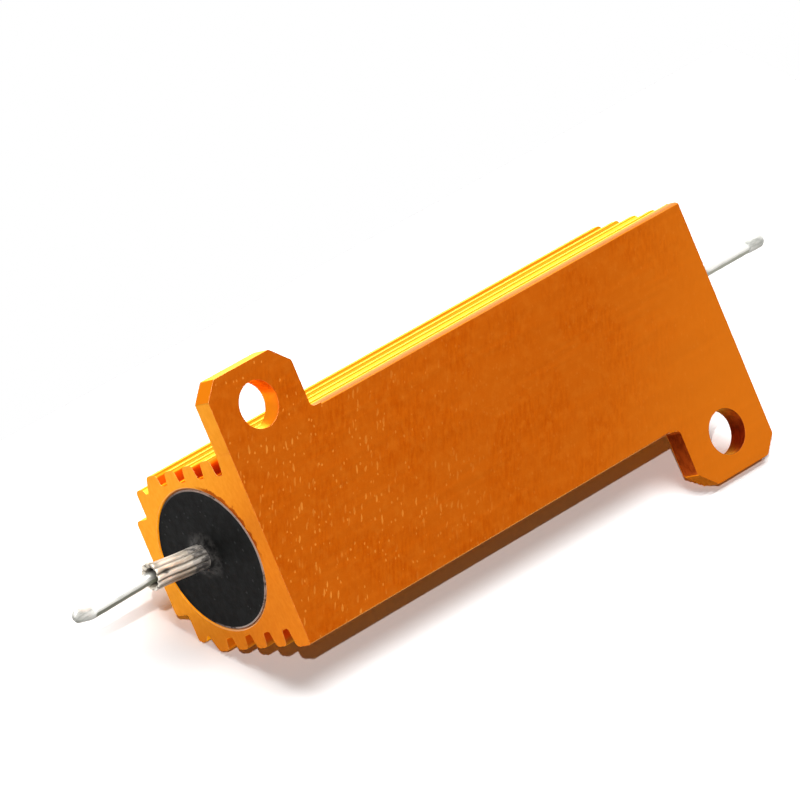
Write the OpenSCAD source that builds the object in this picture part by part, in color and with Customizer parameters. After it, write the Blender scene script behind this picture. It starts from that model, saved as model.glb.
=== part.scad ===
// Aluminium housed wirewound power resistor.
// Frame: X along the housing, +Z away from the mounting face, origin at the centre of the mounting face.
// The body is one extrusion. Two diagonal ears are what milling left of its flange.

/* [Housing] */
// Length of the housing
body_len = 50; // [46:0.5:60]
// Width across the mounting plate, without the ears
body_w = 16; // [15.8:0.1:18]
// Bevel along the lower edges of the mounting plate
plate_bevel = 0.15; // [0.05:0.05:0.3]
// Height from the mounting face to the flat top
body_h = 14.9; // [14.6:0.1:17]
// Thickness of the mounting plate and the ears
plate_t = 1.75; // [1.2:0.05:1.8]
// Diameter of the bore through the housing
bore_d = 11.6; // [10.6:0.1:11.8]
// Height of the bore's axis above the mounting face
bore_z = 7.65; // [7.6:0.05:8]
// Bevel at each mouth of the bore
bore_bevel = 0.2; // [0.05:0.05:0.4]

/* [Fins] */
// Width across the side fins, at the height of the plate's upper side
fins_w = 15.7; // [15.2:0.1:15.8]
// Distance from one side fin to the next
fin_pitch = 2.4; // [2.3:0.05:2.45]
// Width of a groove at its mouth
groove_mouth = 1.2; // [0.9:0.05:1.4]
// Width of a groove at its root
groove_root = 0.75; // [0.5:0.05:0.85]
// Metal left between the bore and the roots of the grooves, at the axis height
groove_wall = 0.6; // [0.4:0.05:0.8]
// Angle by which the fin tips lean in towards the top
side_lean = 2.8; // [0:0.1:4]
// Rounding of the fin tips
tip_r = 0.4; // [0.1:0.05:0.5]
// Rounding of the groove roots
root_r = 0.25; // [0.1:0.05:0.3]

/* [Top] */
// Width of the flat land along the top
land_w = 8.1; // [7:0.1:9]
// Depth of the step on each side of the land
step_d = 1.5; // [1:0.05:1.8]
// Width across the two fins below the step
shoulder_w = 12.9; // [12.2:0.1:13.4]
// Thickness of the fin below the step, at its tip
shoulder_t = 0.9; // [0.6:0.05:1]
// Width between the roots of the two grooves below the shoulders
corner_root_w = 11.4; // [11:0.1:12]

/* [Ears] */
// How far each ear stands out from the plate's side
ear_out = 5.55; // [5:0.05:8]
// Length of each ear along the housing
ear_len = 8.76; // [8:0.02:11]
// Corner cut on the ear's inner side, along the housing
ear_cut_in_x = 1.65; // [1:0.05:2]
// Corner cut on the ear's inner side, across the housing
ear_cut_in_y = 1.55; // [1:0.05:2]
// Corner cut on the ear's outer side, along the housing
ear_cut_out_x = 1.27; // [0.8:0.01:2]
// Corner cut on the ear's outer side, across the housing
ear_cut_out_y = 1.35; // [0.8:0.05:2]
// Diameter of the mounting holes
hole_d = 3.75; // [3:0.05:4.4]
// Distance from a mounting hole's centre to the near end of the housing
hole_end = 4.3; // [4:0.05:5]
// Distance from a mounting hole's centre to the plate's side
hole_side = 2.2; // [2.2:0.05:3.2]

/* [Seals] */
// Thickness of the black potting at each end
seal_t = 4; // [3:0.25:6]
// How far the potting's face lies inside the housing's end
seal_recess = 0.1; // [0:0.05:0.5]

/* [Wound core] */
// Diameter of the ceramic rod
core_d = 6.6; // [5:0.1:7]
// Thickness of the pressed steel caps
cap_t = 0.4; // [0.3:0.05:0.6]
// Length of the caps along the rod
cap_len = 5; // [4:0.25:7]
// Diameter of the resistance wire
wire_d = 0.5; // [0.3:0.05:0.6]
// Distance from one turn of the winding to the next
wire_pitch = 1.5; // [1.2:0.1:2.5]

/* [Terminals] */
// Outer diameter of the terminal sleeves
sleeve_d = 2.1; // [1.8:0.05:2.8]
// How far the sleeves stand out of the housing's ends
sleeve_out = 5.4; // [4:0.1:8]
// Diameter of the wider mouth at the free end of each sleeve
sleeve_mouth_d = 1.5; // [1.2:0.05:1.7]
// Depth of that mouth
sleeve_mouth_t = 1.2; // [0.5:0.1:2]
// Diameter of the lead wires
lead_d = 0.95; // [0.7:0.05:1.1]
// How far the leads reach out of the housing's ends
lead_out = 13.2; // [12:0.1:20]
// Length of the flattened tip of each lead
tip_len = 2.1; // [1:0.1:3]
// Thickness of the flattened tip
tip_t = 0.55; // [0.4:0.05:0.65]
// Width of the flattened tip
tip_w = 1.1; // [1.1:0.05:1.5]
// Radius to which a lead is bent after its sleeve
lead_bend_r = 2; // [1.5:0.5:4]
// Height of the left terminal's root above the bore's axis
left_root_z = 0.6; // [-1:0.05:1]
// Sideways lean of the left terminal, towards +Y
left_lean = -6; // [-7:0.5:7]
// Angle by which the left lead is bent after its sleeve
left_bend = 12; // [0:0.5:14]
// Direction of that bend, from straight up towards +Y
left_bend_roll = 48; // [-90:1:90]
// Angle by which the left lead's flattened tip turns back again
left_tip_bend = 22; // [0:1:25]
// Sideways offset of the right terminal's root from the bore's axis
right_root_y = -0.4; // [-1:0.05:1]
// Sideways lean of the right terminal, towards +Y
right_lean = 0; // [-7:0.5:7]
// Angle by which the right lead is bent after its sleeve
right_bend = 0; // [0:0.5:14]

/* [Hidden] */

LEFT = "left";         // the -X end
RIGHT = "right";       // the +X end
round_fn = 96;         // facets of the bore and the pieces in it
wire_fn = 32;          // facets of leads and sleeves
arc_steps = 4;         // chords in each rounded corner of an outline
turn_steps = 18;       // rings in each turn of the winding
wire_sides = 6;        // sides of the winding's wire
lead_sides = 16;       // sides of a lead
bend_steps = 4;        // rings in a lead's bend
tip_steps = 4;         // rings in the round end of a lead
press_len = 0.4;       // length over which a lead goes from round to flat
press_power = 0.4;     // how flat the pressed tip's faces are, from 1 for round to 0 for flat
through = 1;           // how far a cutter passes the face that it opens
wire_gap = 0.02;       // clearance round the winding
groove_count = 4;      // side grooves below the corner groove

half_len = body_len / 2;
half_w = body_w / 2;
bore_r = bore_d / 2;
core_r = core_d / 2;
sleeve_r = sleeve_d / 2;
lead_r = lead_d / 2;
groove_y = bore_r + groove_wall;
step_z = body_h - step_d;
shoulder_z = step_z - shoulder_t;
corner_root_z = shoulder_z - shoulder_t / 2;
ear_root = 1;          // how far an ear's outline runs into the plate
ear_r = 0.3;           // rounding of the ears' corners
ear_inner_r = 0.45;    // cutter radius where an ear meets the plate's side

// Inner end of the seals, where the caps and the filler begin
seal_in = half_len - seal_recess - seal_t;
core_half = seal_in - cap_t;
cap_in = seal_in - cap_len;
cap_r = core_r + cap_t;
coil_r = core_r + wire_gap + wire_d / 2;
coil_half = cap_in - wire_d / 2 - wire_gap;
coil_turns = floor(2 * coil_half / wire_pitch);
coil_step = 2 * coil_half / coil_turns;

// ---- outlines with rounded corners: each point is [x, y, radius] ----
function flat(p) = [p[0], p[1]];
function unit(v) = v / norm(v);

// Points of one rounded corner. The radius is held to what the two edges leave room for.
function corner(a, p, b, r) =
    let (u = unit(a - p), v = unit(b - p), half = acos(u * v) / 2,
        room = min(norm(a - p), norm(b - p)) / 2,
        fit_r = min(r, room * tan(half)),
        centre = p + unit(u + v) * fit_r / sin(half),
        from = p + u * fit_r / tan(half) - centre,
        to = p + v * fit_r / tan(half) - centre,
        sweep = 180 - 2 * half)
    [for (i = [0:arc_steps]) let (t = i / arc_steps)
        centre + (from * sin((1 - t) * sweep) + to * sin(t * sweep)) / sin(sweep)];

function rounded(points) =
    let (n = len(points))
    [for (i = [0:n - 1])
        let (p = points[i], before = flat(points[(i + n - 1) % n]), after = flat(points[(i + 1) % n]))
        each (p[2] > 0 ? corner(before, flat(p), after, p[2]) : [flat(p)])];

// ---- the extrusion's section ----
// Half width of the fin tips at height z
function tip_y(z) = fins_w / 2 - (z - plate_t) * tan(side_lean);

// One side groove whose lower lip is at height z and half width lip_y
function groove(z, lip_y) =
    let (slope = (groove_mouth - groove_root) / 2)
    [[lip_y, z, tip_r],
     [groove_y, z + slope, root_r],
     [groove_y, z + groove_mouth - slope, root_r],
     [tip_y(z + groove_mouth), z + groove_mouth, tip_r]];

// The right-hand half of the section, from the mounting face up to the land
function half_section() = concat(
    [[half_w - plate_bevel, 0, 0], [half_w, 2 * plate_bevel, 0]],
    groove(plate_t, half_w),
    [for (i = [1:groove_count - 1])
        let (z = plate_t + i * fin_pitch)
        each groove(z, tip_y(z))],
    [[tip_y(plate_t + groove_count * fin_pitch), plate_t + groove_count * fin_pitch, tip_r],
     [corner_root_w / 2, corner_root_z, root_r],
     [shoulder_w / 2, shoulder_z, tip_r],
     [shoulder_w / 2, step_z, tip_r],
     [land_w / 2, step_z, root_r],
     [land_w / 2, body_h, tip_r]]);

function mirrored(points) =
    let (n = len(points))
    [for (i = [n - 1:-1:0]) [-points[i][0], points[i][1], points[i][2]]];

module section() {
    half = half_section();
    polygon(rounded(concat(half, mirrored(half))));
}

// Lays a shape drawn along Z out along X, with its own X across and its own Y up
module along_x() {
    rotate([90, 0, 90]) children();
}

module extrusion() {
    along_x() translate([0, 0, -half_len]) linear_extrude(body_len) section();
}

// ---- ears ----
function ear_outline() =
    let (inner = half_len - ear_len, side = half_w, out = half_w + ear_out)
    [[half_len, side - ear_root, 0],
     [half_len, out - ear_cut_out_y, ear_r],
     [half_len - ear_cut_out_x, out, ear_r],
     [inner + ear_cut_in_x, out, ear_r],
     [inner, out - ear_cut_in_y, ear_r],
     [inner, side, ear_inner_r],
     [inner - ear_root, side, 0],
     [inner - ear_root, side - ear_root, 0]];

module ear() {
    difference() {
        linear_extrude(plate_t) polygon(rounded(ear_outline()));
        translate([half_len - hole_end, half_w + hole_side, -through])
            cylinder(d = hole_d, h = plate_t + 2 * through, $fn = wire_fn);
    }
}

module bore_cut() {
    along_x() translate([0, bore_z, -half_len - through])
        cylinder(r = bore_r, h = body_len + 2 * through, $fn = round_fn);
    for (side = [0, 180])
        rotate([0, 0, side]) along_x() translate([0, bore_z, half_len - bore_bevel])
            cylinder(r1 = bore_r, r2 = bore_r + 2 * bore_bevel, h = 2 * bore_bevel, $fn = round_fn);
}

module housing() {
    color("darkorange") difference() {
        union() {
            extrusion();
            for (turn = [0, 180]) rotate([0, 0, turn]) ear();
        }
        bore_cut();
    }
}

// ---- pieces in the bore, drawn with the bore's axis on Z and laid along X ----
// A round piece on the bore's axis, from x = a to x = b
module on_axis(a, b, r) {
    along_x() translate([0, bore_z, a]) cylinder(r = r, h = b - a, $fn = round_fn);
}

// What is the same at both ends is drawn at the +X end and turned to its own end
module at_end(side) {
    rotate([0, 0, side == LEFT ? 180 : 0]) children();
}

module seal(side) {
    color([0.13, 0.14, 0.14]) difference() {
        at_end(side) on_axis(seal_in, seal_in + seal_t, bore_r);
        terminal_axis(side) translate([0, 0, -through])
            cylinder(r = sleeve_r, h = 2 * seal_t, $fn = wire_fn);
    }
}

module left_seal() { seal(LEFT); }
module right_seal() { seal(RIGHT); }

module filler() {
    color("dimgray") difference() {
        on_axis(-seal_in, seal_in, bore_r);
        on_axis(-seal_in - through, -cap_in, cap_r);
        on_axis(-cap_in, cap_in, coil_r + wire_d / 2 + wire_gap);
        on_axis(cap_in, seal_in + through, cap_r);
    }
}

module ceramic_core() {
    color("ivory") on_axis(-core_half, core_half, core_r);
}

// Ring of the wire at the given angle along the coil
function coil_ring(angle) =
    let (x = -coil_half + coil_step * angle / 360)
    [for (s = [0:wire_sides - 1])
        let (a = 360 * s / wire_sides, r = coil_r + wire_d / 2 * cos(a))
        [x + wire_d / 2 * sin(a), r * sin(angle), bore_z + r * cos(angle)]];

module winding() {
    color("silver") skin([for (i = [0:coil_turns * turn_steps]) coil_ring(i * 360 / turn_steps)]);
}

module cap(side) {
    color("lightgray") at_end(side) difference() {
        on_axis(cap_in, seal_in, cap_r);
        on_axis(cap_in - through, core_half, core_r);
    }
}

module left_cap() { cap(LEFT); }
module right_cap() { cap(RIGHT); }

// ---- terminals and leads, drawn outwards along Z from the cap's face ----
module terminal_axis(side) {
    left = side == LEFT;
    lean = left ? -left_lean : right_lean;
    translate([left ? -seal_in : seal_in, left ? 0 : right_root_y, bore_z + (left ? left_root_z : 0)])
        at_end(side) rotate([0, 0, lean]) rotate([0, 90, 0]) children();
}

// Cuts what a leaning terminal would have inside the cap
module outside_cap(side) {
    difference() {
        children();
        at_end(side) translate([0, -cap_r, bore_z - cap_r]) cube([seal_in, 2 * cap_r, 2 * cap_r]);
    }
}

// Length of a sleeve from the cap's face, along its own axis
function sleeve_len(lean) = (half_len + sleeve_out - seal_in) / cos(lean);

module terminal(side, lean) {
    len = sleeve_len(lean);
    color([0.55, 0.52, 0.48]) outside_cap(side) terminal_axis(side) difference() {
        translate([0, 0, -through]) cylinder(r = sleeve_r, h = len + through, $fn = wire_fn);
        translate([0, 0, -2 * through]) cylinder(r = lead_r, h = len + 3 * through, $fn = wire_fn);
        translate([0, 0, len - sleeve_mouth_t])
            cylinder(d = sleeve_mouth_d, h = sleeve_mouth_t + through, $fn = wire_fn);
    }
}

module left_terminal() { terminal(LEFT, left_lean); }
module right_terminal() { terminal(RIGHT, right_lean); }

// The wire's direction after it has turned through an angle towards roll
function lead_dir(angle, roll) = [-cos(roll) * sin(angle), -sin(roll) * sin(angle), cos(angle)];

// Centre of the wire in its bend, whose first point is at height z
function bend_point(angle, roll, z) =
    let (side = lead_bend_r * (1 - cos(angle)))
    [-cos(roll) * side, -sin(roll) * side, z + lead_bend_r * sin(angle)];

// A ring across the wire at point c, of half thickness h and half width w, flatter for a lower power
function lead_ring(c, dir, h, w, power) =
    let (u = unit([1, 0, 0] - dir * dir[0]), v = cross(dir, u))
    [for (s = [0:lead_sides - 1])
        let (a = 360 * s / lead_sides, rise = sign(cos(a)) * pow(abs(cos(a)), power))
        c + u * h * rise + v * w * sin(a)];

// The ring where the wire meets the cap's face, which its lean makes oblique
function root_ring(turn) =
    [for (p = lead_ring([0, 0, 0], [0, 0, 1], lead_r, lead_r, 1)) [p[0], p[1], p[1] * tan(turn)]];

// Distance along the pressed tip, half thickness and half width of each of its rings
tip_rings =
    let (w = tip_w / 2, h = tip_t / 2, round_at = tip_len - w)
    concat(
        [[press_len, h, w]],
        [for (i = [0:tip_steps])
            let (a = 90 * i / (tip_steps + 1))
            [round_at + w * sin(a), h, w * cos(a)]]);

// Joins rings of equal size into one closed solid
module skin(rings) {
    n = len(rings[0]);
    last = len(rings) - 1;
    sides = [for (i = [0:last - 1], s = [0:n - 1])
        let (a = i * n, t = (s + 1) % n)
        [a + s, a + t, a + t + n, a + s + n]];
    near_end = [for (s = [n - 1:-1:0]) s];
    far_end = [for (s = [0:n - 1]) last * n + s];
    polyhedron([for (ring = rings) each ring], concat(sides, [near_end, far_end]));
}

// A lead: straight through its sleeve, bent towards roll, then pressed flat at a tip that turns back
module lead(side, lean, bend, roll, tip_bend) {
    straight = sleeve_len(lean);
    free = lead_out - sleeve_out - lead_bend_r * sin(bend) - tip_len;
    dir = lead_dir(bend, roll);
    tip_dir = lead_dir(bend - tip_bend, roll);
    wire_end = bend_point(bend, roll, straight) + dir * free;
    color([0.78, 0.79, 0.74]) terminal_axis(side) skin(concat(
        [root_ring(side == LEFT ? -lean : lean)],
        [for (i = [0:bend_steps])
            let (a = bend * i / bend_steps)
            if (bend > 0) lead_ring(bend_point(a, roll, straight), lead_dir(a, roll), lead_r, lead_r, 1)],
        [lead_ring(wire_end, dir, lead_r, lead_r, 1)],
        [for (r = tip_rings) lead_ring(wire_end + tip_dir * r[0], tip_dir, r[1], r[2], press_power)]));
}

module left_lead() { lead(LEFT, left_lean, left_bend, left_bend_roll, left_tip_bend); }
module right_lead() { lead(RIGHT, right_lean, right_bend, 0, 0); }

housing();
left_seal();
right_seal();
filler();
ceramic_core();
winding();
left_cap();
right_cap();
left_terminal();
right_terminal();
left_lead();
right_lead();
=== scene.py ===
import math

import bmesh
import bpy
from mathutils import Matrix, Vector, noise


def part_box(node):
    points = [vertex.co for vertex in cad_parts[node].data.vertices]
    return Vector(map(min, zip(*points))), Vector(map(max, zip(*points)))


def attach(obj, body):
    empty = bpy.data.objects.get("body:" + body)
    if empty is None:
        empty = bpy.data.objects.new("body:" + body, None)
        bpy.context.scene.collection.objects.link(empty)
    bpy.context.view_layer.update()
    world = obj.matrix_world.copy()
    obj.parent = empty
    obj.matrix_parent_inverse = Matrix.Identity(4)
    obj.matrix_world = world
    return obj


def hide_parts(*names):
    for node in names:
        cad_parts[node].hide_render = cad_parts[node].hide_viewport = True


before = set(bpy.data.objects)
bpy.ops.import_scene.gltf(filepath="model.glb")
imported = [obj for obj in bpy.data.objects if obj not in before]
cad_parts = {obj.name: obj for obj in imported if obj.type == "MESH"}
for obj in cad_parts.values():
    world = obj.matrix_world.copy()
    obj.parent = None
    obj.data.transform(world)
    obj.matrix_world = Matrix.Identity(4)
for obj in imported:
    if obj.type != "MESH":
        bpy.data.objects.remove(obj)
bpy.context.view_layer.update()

MM = 0.001


def add_object(name, data):
    obj = bpy.data.objects.new(name, data)
    bpy.context.scene.collection.objects.link(obj)
    return obj


# ---- camera --------------------------------------------------------------------

SENSOR_WIDTH, LENS = 36, 335.93
NEAREST, FARTHEST = 0.05, 20
CAMERA_BACK = Vector((-0.596215, -0.157000, -0.787324))
CAMERA_UP = Vector((0.395975, -0.910613, -0.118274))
CAMERA_PLACE = Vector((-350.47, -95.24, -452.01)) * MM


def make_camera():
    """Long lens that looks at the mounting face from below the near end. Returns its three directions."""
    data = bpy.data.cameras.new("camera")
    data.sensor_width = SENSOR_WIDTH
    data.lens = LENS
    data.clip_start = NEAREST
    data.clip_end = FARTHEST
    camera = add_object("camera", data)
    back = CAMERA_BACK.normalized()
    up = (CAMERA_UP - back * CAMERA_UP.dot(back)).normalized()
    right = up.cross(back)
    turn = Matrix((right, up, back)).transposed().to_4x4()
    camera.matrix_world = Matrix.Translation(CAMERA_PLACE) @ turn
    bpy.context.scene.camera = camera
    return back, up, right


BACK, UP, RIGHT = make_camera()


# ---- node helpers --------------------------------------------------------------

def feed(tree, socket, value):
    """Links another node's output to a socket, or sets a plain value on it."""
    if isinstance(value, bpy.types.NodeSocket):
        tree.links.new(value, socket)
    else:
        socket.default_value = value


def put(tree, kind, settings=None, **inputs):
    """Adds a node. settings are its properties. inputs are its sockets, by name (_ for a space) or as i0."""
    node = tree.nodes.new(kind)
    for key, value in (settings or {}).items():
        setattr(node, key, value)
    for key, value in inputs.items():
        numbered = key[0] == "i" and key[1:].isdigit()
        feed(tree, node.inputs[int(key[1:]) if numbered else key.replace("_", " ")], value)
    return node


def math_node(tree, operation, *values, clamp=False):
    node = put(tree, "ShaderNodeMath", {"operation": operation, "use_clamp": clamp})
    for socket, value in zip(node.inputs, values):
        feed(tree, socket, value)
    return node.outputs[0]


def vector_math(tree, operation, a, b):
    """One step of vector arithmetic. SCALE takes a number as its second value."""
    second = {"Scale" if operation == "SCALE" else "i1": b}
    node = put(tree, "ShaderNodeVectorMath", {"operation": operation}, i0=a, **second)
    return node.outputs["Value" if operation in ("DOT_PRODUCT", "DISTANCE") else "Vector"]


def chained(tree, operation, first, rest):
    for value in rest:
        first = math_node(tree, operation, first, value)
    return first


def times(tree, first, *rest):
    return chained(tree, "MULTIPLY", first, rest)


def plus(tree, first, *rest):
    return chained(tree, "ADD", first, rest)


def minus(tree, first, *rest):
    return chained(tree, "SUBTRACT", first, rest)


def either(tree, first, *rest):
    """The largest of some masks."""
    return chained(tree, "MAXIMUM", first, rest)


def above(tree, value, limit):
    return math_node(tree, "GREATER_THAN", value, limit)


def below(tree, value, limit):
    return math_node(tree, "LESS_THAN", value, limit)


def between(tree, value, low, high):
    return times(tree, above(tree, value, low), below(tree, value, high))


def ramp(tree, value, low, high):
    """0 at low, 1 at high, smooth in between. low may lie above high."""
    return put(tree, "ShaderNodeMapRange", {"interpolation_type": "SMOOTHSTEP"}, Value=value,
               From_Min=low, From_Max=high).outputs["Result"]


def mix_colour(tree, factor, a, b):
    return put(tree, "ShaderNodeMix", {"data_type": "RGBA"}, i0=factor, i6=a, i7=b).outputs[2]


def tint(tree, colour, tone, mask, strength=None):
    """Lays a tone over a colour where the mask is 1, fully or by a strength."""
    return mix_colour(tree, mask if strength is None else times(tree, mask, strength), colour, tone)


def two_tones(tree, value, low, high, deep, pale):
    return mix_colour(tree, ramp(tree, value, low, high), deep, pale)


def srgb(r, g, b):
    """A colour written as eight-bit sRGB, as Blender's linear RGBA."""
    def linear(c):
        c /= 255
        return c / 12.92 if c <= 0.04045 else ((c + 0.055) / 1.055) ** 2.4
    return (linear(r), linear(g), linear(b), 1.0)


FLOAT, VECTOR = "NodeSocketFloat", "NodeSocketVector"
GEOMETRY, MATERIAL = "NodeSocketGeometry", "NodeSocketMaterial"


def new_group(name, tree_type, inputs, output):
    """An empty node group with its sockets, each written as a label, a kind and perhaps a value."""
    tree = bpy.data.node_groups.new(name, tree_type)
    for label, kind, *value in inputs:
        socket = tree.interface.new_socket(label, in_out="INPUT", socket_type=kind)
        if value:
            socket.default_value = value[0]
    label, kind = output
    tree.interface.new_socket(label, in_out="OUTPUT", socket_type=kind)
    return tree, tree.nodes.new("NodeGroupInput").outputs, tree.nodes.new("NodeGroupOutput").inputs[0]


def use_group(tree, group, **values):
    return put(tree, "ShaderNodeGroup", {"node_tree": group}, **values).outputs[0]


def grain_group():
    """Fine streaks and blotches. A low Stretch along an axis draws the pattern out along it."""
    tree, given, value = new_group(
        "grain", "ShaderNodeTree",
        [("Position", VECTOR), ("Stretch", VECTOR, (1, 1, 1)), ("Size", FLOAT, 1.0), ("Detail", FLOAT, 4.0)],
        ("Value", FLOAT))
    scaled = vector_math(tree, "MULTIPLY", given["Position"], given["Stretch"])
    rough = put(tree, "ShaderNodeTexNoise", Vector=scaled, Scale=given["Size"], Detail=given["Detail"],
                Roughness=0.6)
    feed(tree, value, rough.outputs["Fac"])
    return tree


def fleck_group():
    """Sparse short strokes: the cells of a stretched pattern that a random pick keeps."""
    edge_steepness, warp_size, warp_reach = 12.0, 900.0, 0.4 * MM
    tree, given, mask = new_group(
        "flecks", "ShaderNodeTree",
        [("Position", VECTOR), ("Stretch", VECTOR, (1, 1, 1)), ("Size", FLOAT, 1.0),
         ("Radius", FLOAT, 0.3), ("Share", FLOAT, 0.3)],
        ("Mask", FLOAT))
    warp = put(tree, "ShaderNodeTexNoise", Vector=given["Position"], Scale=warp_size, Detail=1.0)
    shift = vector_math(tree, "SCALE", warp.outputs["Color"], warp_reach)
    moved = vector_math(tree, "ADD", given["Position"], shift)
    scaled = vector_math(tree, "MULTIPLY", moved, given["Stretch"])
    cells = put(tree, "ShaderNodeTexVoronoi", Vector=scaled, Scale=given["Size"])
    pick = put(tree, "ShaderNodeSeparateColor", Color=cells.outputs["Color"]).outputs[0]
    inside = math_node(tree, "MULTIPLY", minus(tree, given["Radius"], cells.outputs["Distance"]),
                       edge_steepness, clamp=True)
    feed(tree, mask, times(tree, inside, below(tree, pick, given["Share"])))
    return tree


GRAIN = grain_group()
FLECKS = fleck_group()


# ---- sizes, in metres ----------------------------------------------------------

SEAL_LOW, SEAL_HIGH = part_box("left_seal")
HALF_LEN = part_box("housing")[1].x
BORE_R = (SEAL_HIGH.y - SEAL_LOW.y) / 2
BORE_Z = (SEAL_HIGH.z + SEAL_LOW.z) / 2
SEAL_FACE = -SEAL_LOW.x
SEAL_BACK = -SEAL_HIGH.x
PLATE_T = 1.75 * MM
PLATE_SIDE = 7.9 * MM
FIN_TIP = 7.85 * MM
GROOVE_ROOT = 6.6 * MM
SHOULDER_Z = 13.9 * MM
HOLE_X = 20.7 * MM
HOLE_Y = 10.2 * MM
HOLE_R = 1.875 * MM
EAR_WALL_X = 16.24 * MM
EAR_OUT = 13.55 * MM
# how close to a flat face a point still counts as on it
SKIN = 0.02 * MM

SLEEVE_R = 1.05 * MM
SLEEVE_OUT = 5.4 * MM
MOUTH_R = 0.75 * MM
MOUTH_DEPTH = 1.2 * MM
WIRE_R = 0.475 * MM
LEAD_OUT = 13.2 * MM
BEND_R = 2.0 * MM
TIP_LEN = 2.1 * MM
TIP_W = 1.1 * MM
TIP_T = 0.55 * MM
WINDING_WIRE_R = 0.25 * MM
WINDING_TURNS = 20.0


# ---- colours -------------------------------------------------------------------

# Anodised housing. What wanders between two tones has a deep and a pale one.
SIDE_DEEP, SIDE_PALE = srgb(240, 140, 18), srgb(246, 160, 28)
# the colours below are painted shade inside the grooves, deepest near the plate
GROOVE_SHADE_LOW, GROOVE_SHADE_HIGH = srgb(202, 74, 8), srgb(224, 108, 14)
BASE_DEEP, BASE_PALE = srgb(212, 91, 4), srgb(228, 108, 12)
SAWN_DEEP, SAWN_PALE = srgb(214, 138, 44), srgb(220, 146, 52)
# the colours below are painted shade on the ends towards the base's corner on the +Y side
SAWN_SHADE_DEEP, SAWN_SHADE_PALE = srgb(200, 108, 32), srgb(206, 116, 38)
# the colours below are painted shade in and beside the far ear
EAR_SHADE_DEEP, EAR_SHADE_PALE = srgb(136, 46, 14), srgb(170, 70, 26)
# the first colour below is painted shade on the down-facing fin faces on the +Y side
# the second colour below is a painted highlight on the fins' lips and shoulder on the -Y side
FIN_UNDERSIDE_SHADE, FIN_LIP_GLINT = srgb(116, 40, 22), srgb(252, 210, 60)
# the second colour below paints the pink sheen of a highlight on the plate's flank
MILLED, PLATE_FLANK_SHEEN = srgb(240, 130, 26), srgb(196, 142, 104)
BASE_CLOUD, BASE_BLOTCH, BASE_SPECKLE = srgb(224, 108, 16), srgb(232, 120, 26), srgb(236, 130, 40)
# the first colour below is painted light, brightening the base towards the far ear
# the second colour below is a painted glint on the base's dents
BASE_FAR_LIGHT, BASE_FLECK_GLINT = srgb(250, 134, 28), srgb(254, 158, 62)
# the second colour below is a painted highlight on the bore's rim
RIM_CHIP, RIM_HIGHLIGHT = srgb(132, 34, 14), srgb(212, 168, 140)
# the second colour below is painted shade on the broken edges along the base's +Y side
EDGE_WORN, EDGE_SHADE = srgb(250, 206, 150), srgb(150, 56, 10)
GLANCE_SIDE, GLANCE_PLATE = srgb(255, 232, 124), srgb(236, 176, 136)

# Potting
POTTING_DEEP, POTTING_PALE = srgb(6, 6, 6), srgb(16, 18, 18)
# the last colour below is a painted highlight along the potting's rim
POTTING_DUST, POTTING_SMEAR, POTTING_RIM_HIGHLIGHT = srgb(70, 74, 73), srgb(84, 82, 80), srgb(196, 176, 166)

# Leads and sleeves
# the colours below are painted shade along the wire's +Y side, near and far
WIRE_SHADE_NEAR, WIRE_SHADE_FAR = srgb(116, 118, 103), srgb(170, 172, 158)
WIRE_DEEP, WIRE_PALE = srgb(204, 206, 200), srgb(232, 233, 228)
TIP_DEEP, TIP_PALE, WIRE_AT_MOUTH = srgb(160, 162, 156), srgb(212, 213, 208), srgb(70, 68, 62)
# the last colour below is painted shade in the valleys between the strands
STRAND_DEEP, STRAND_PALE, STRAND_VALLEY_SHADE = srgb(196, 186, 168), srgb(240, 234, 220), srgb(66, 56, 46)
SLEEVE_SMEAR_DEEP, SLEEVE_SMEAR_PALE = srgb(64, 62, 60), srgb(168, 164, 156)
# the first colour below is painted shade on the sleeve's +Y side
# the second colour below is near-black painted shade in the sleeve's pinch and inside its mouth
SLEEVE_SHADE, SLEEVE_PIT_SHADE = srgb(104, 98, 88), srgb(14, 12, 11)


# ---- patterns ------------------------------------------------------------------

# Size counts the pattern's repeats in a metre, and a low Stretch draws it out along that axis
EVEN = (1.0, 1.0, 1.0)
DRAWN = {"Stretch": (0.03, 1.0, 1.0), "Size": 2600.0}
RUBBED = {"Stretch": (1.0, 0.25, 1.0), "Size": 3600.0}
RUB_TURN = math.radians(-28)
CLOUDS, BLOTCHES, SPECKLES = 170.0, 1100.0, 5200.0
LARGE_FLECKS = {"Stretch": (1.35, 0.36, 1.0), "Size": 2000.0, "Radius": 0.28, "Share": 0.66}
SMALL_FLECKS = {"Stretch": (1.0, 0.6, 1.0), "Size": 3000.0, "Radius": 0.26, "Share": 0.3}
POTTING_MOTTLE, POTTING_GRAIN = 1500.0, 4200.0
DUST = {"Stretch": EVEN, "Size": 1900.0, "Radius": 0.22, "Share": 0.12}
WIRE_STREAKS = {"Stretch": (0.3, 1.0, 1.0), "Size": 1600.0}
SLEEVE_STREAKS = {"Stretch": (0.2, 1.0, 1.0), "Size": 2200.0}
SLEEVE_BLOTCHES = {"Stretch": (0.5, 1.0, 1.0), "Size": 1500.0}


# ---- finishes ------------------------------------------------------------------

def new_material(name):
    material = bpy.data.materials.new(name)
    material.use_nodes = True
    material.node_tree.nodes.clear()
    return material, material.node_tree


def place_on_part(tree):
    """The shaded point in the part's frame."""
    return put(tree, "ShaderNodeTexCoord").outputs["Object"]


def parts(tree, vector):
    return put(tree, "ShaderNodeSeparateXYZ", Vector=vector).outputs


def facing(tree):
    """The three parts of the surface's own direction."""
    return parts(tree, put(tree, "ShaderNodeNewGeometry").outputs["Normal"])


def even_grain(tree, place, size):
    return use_group(tree, GRAIN, Position=place, Stretch=EVEN, Size=size)


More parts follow.
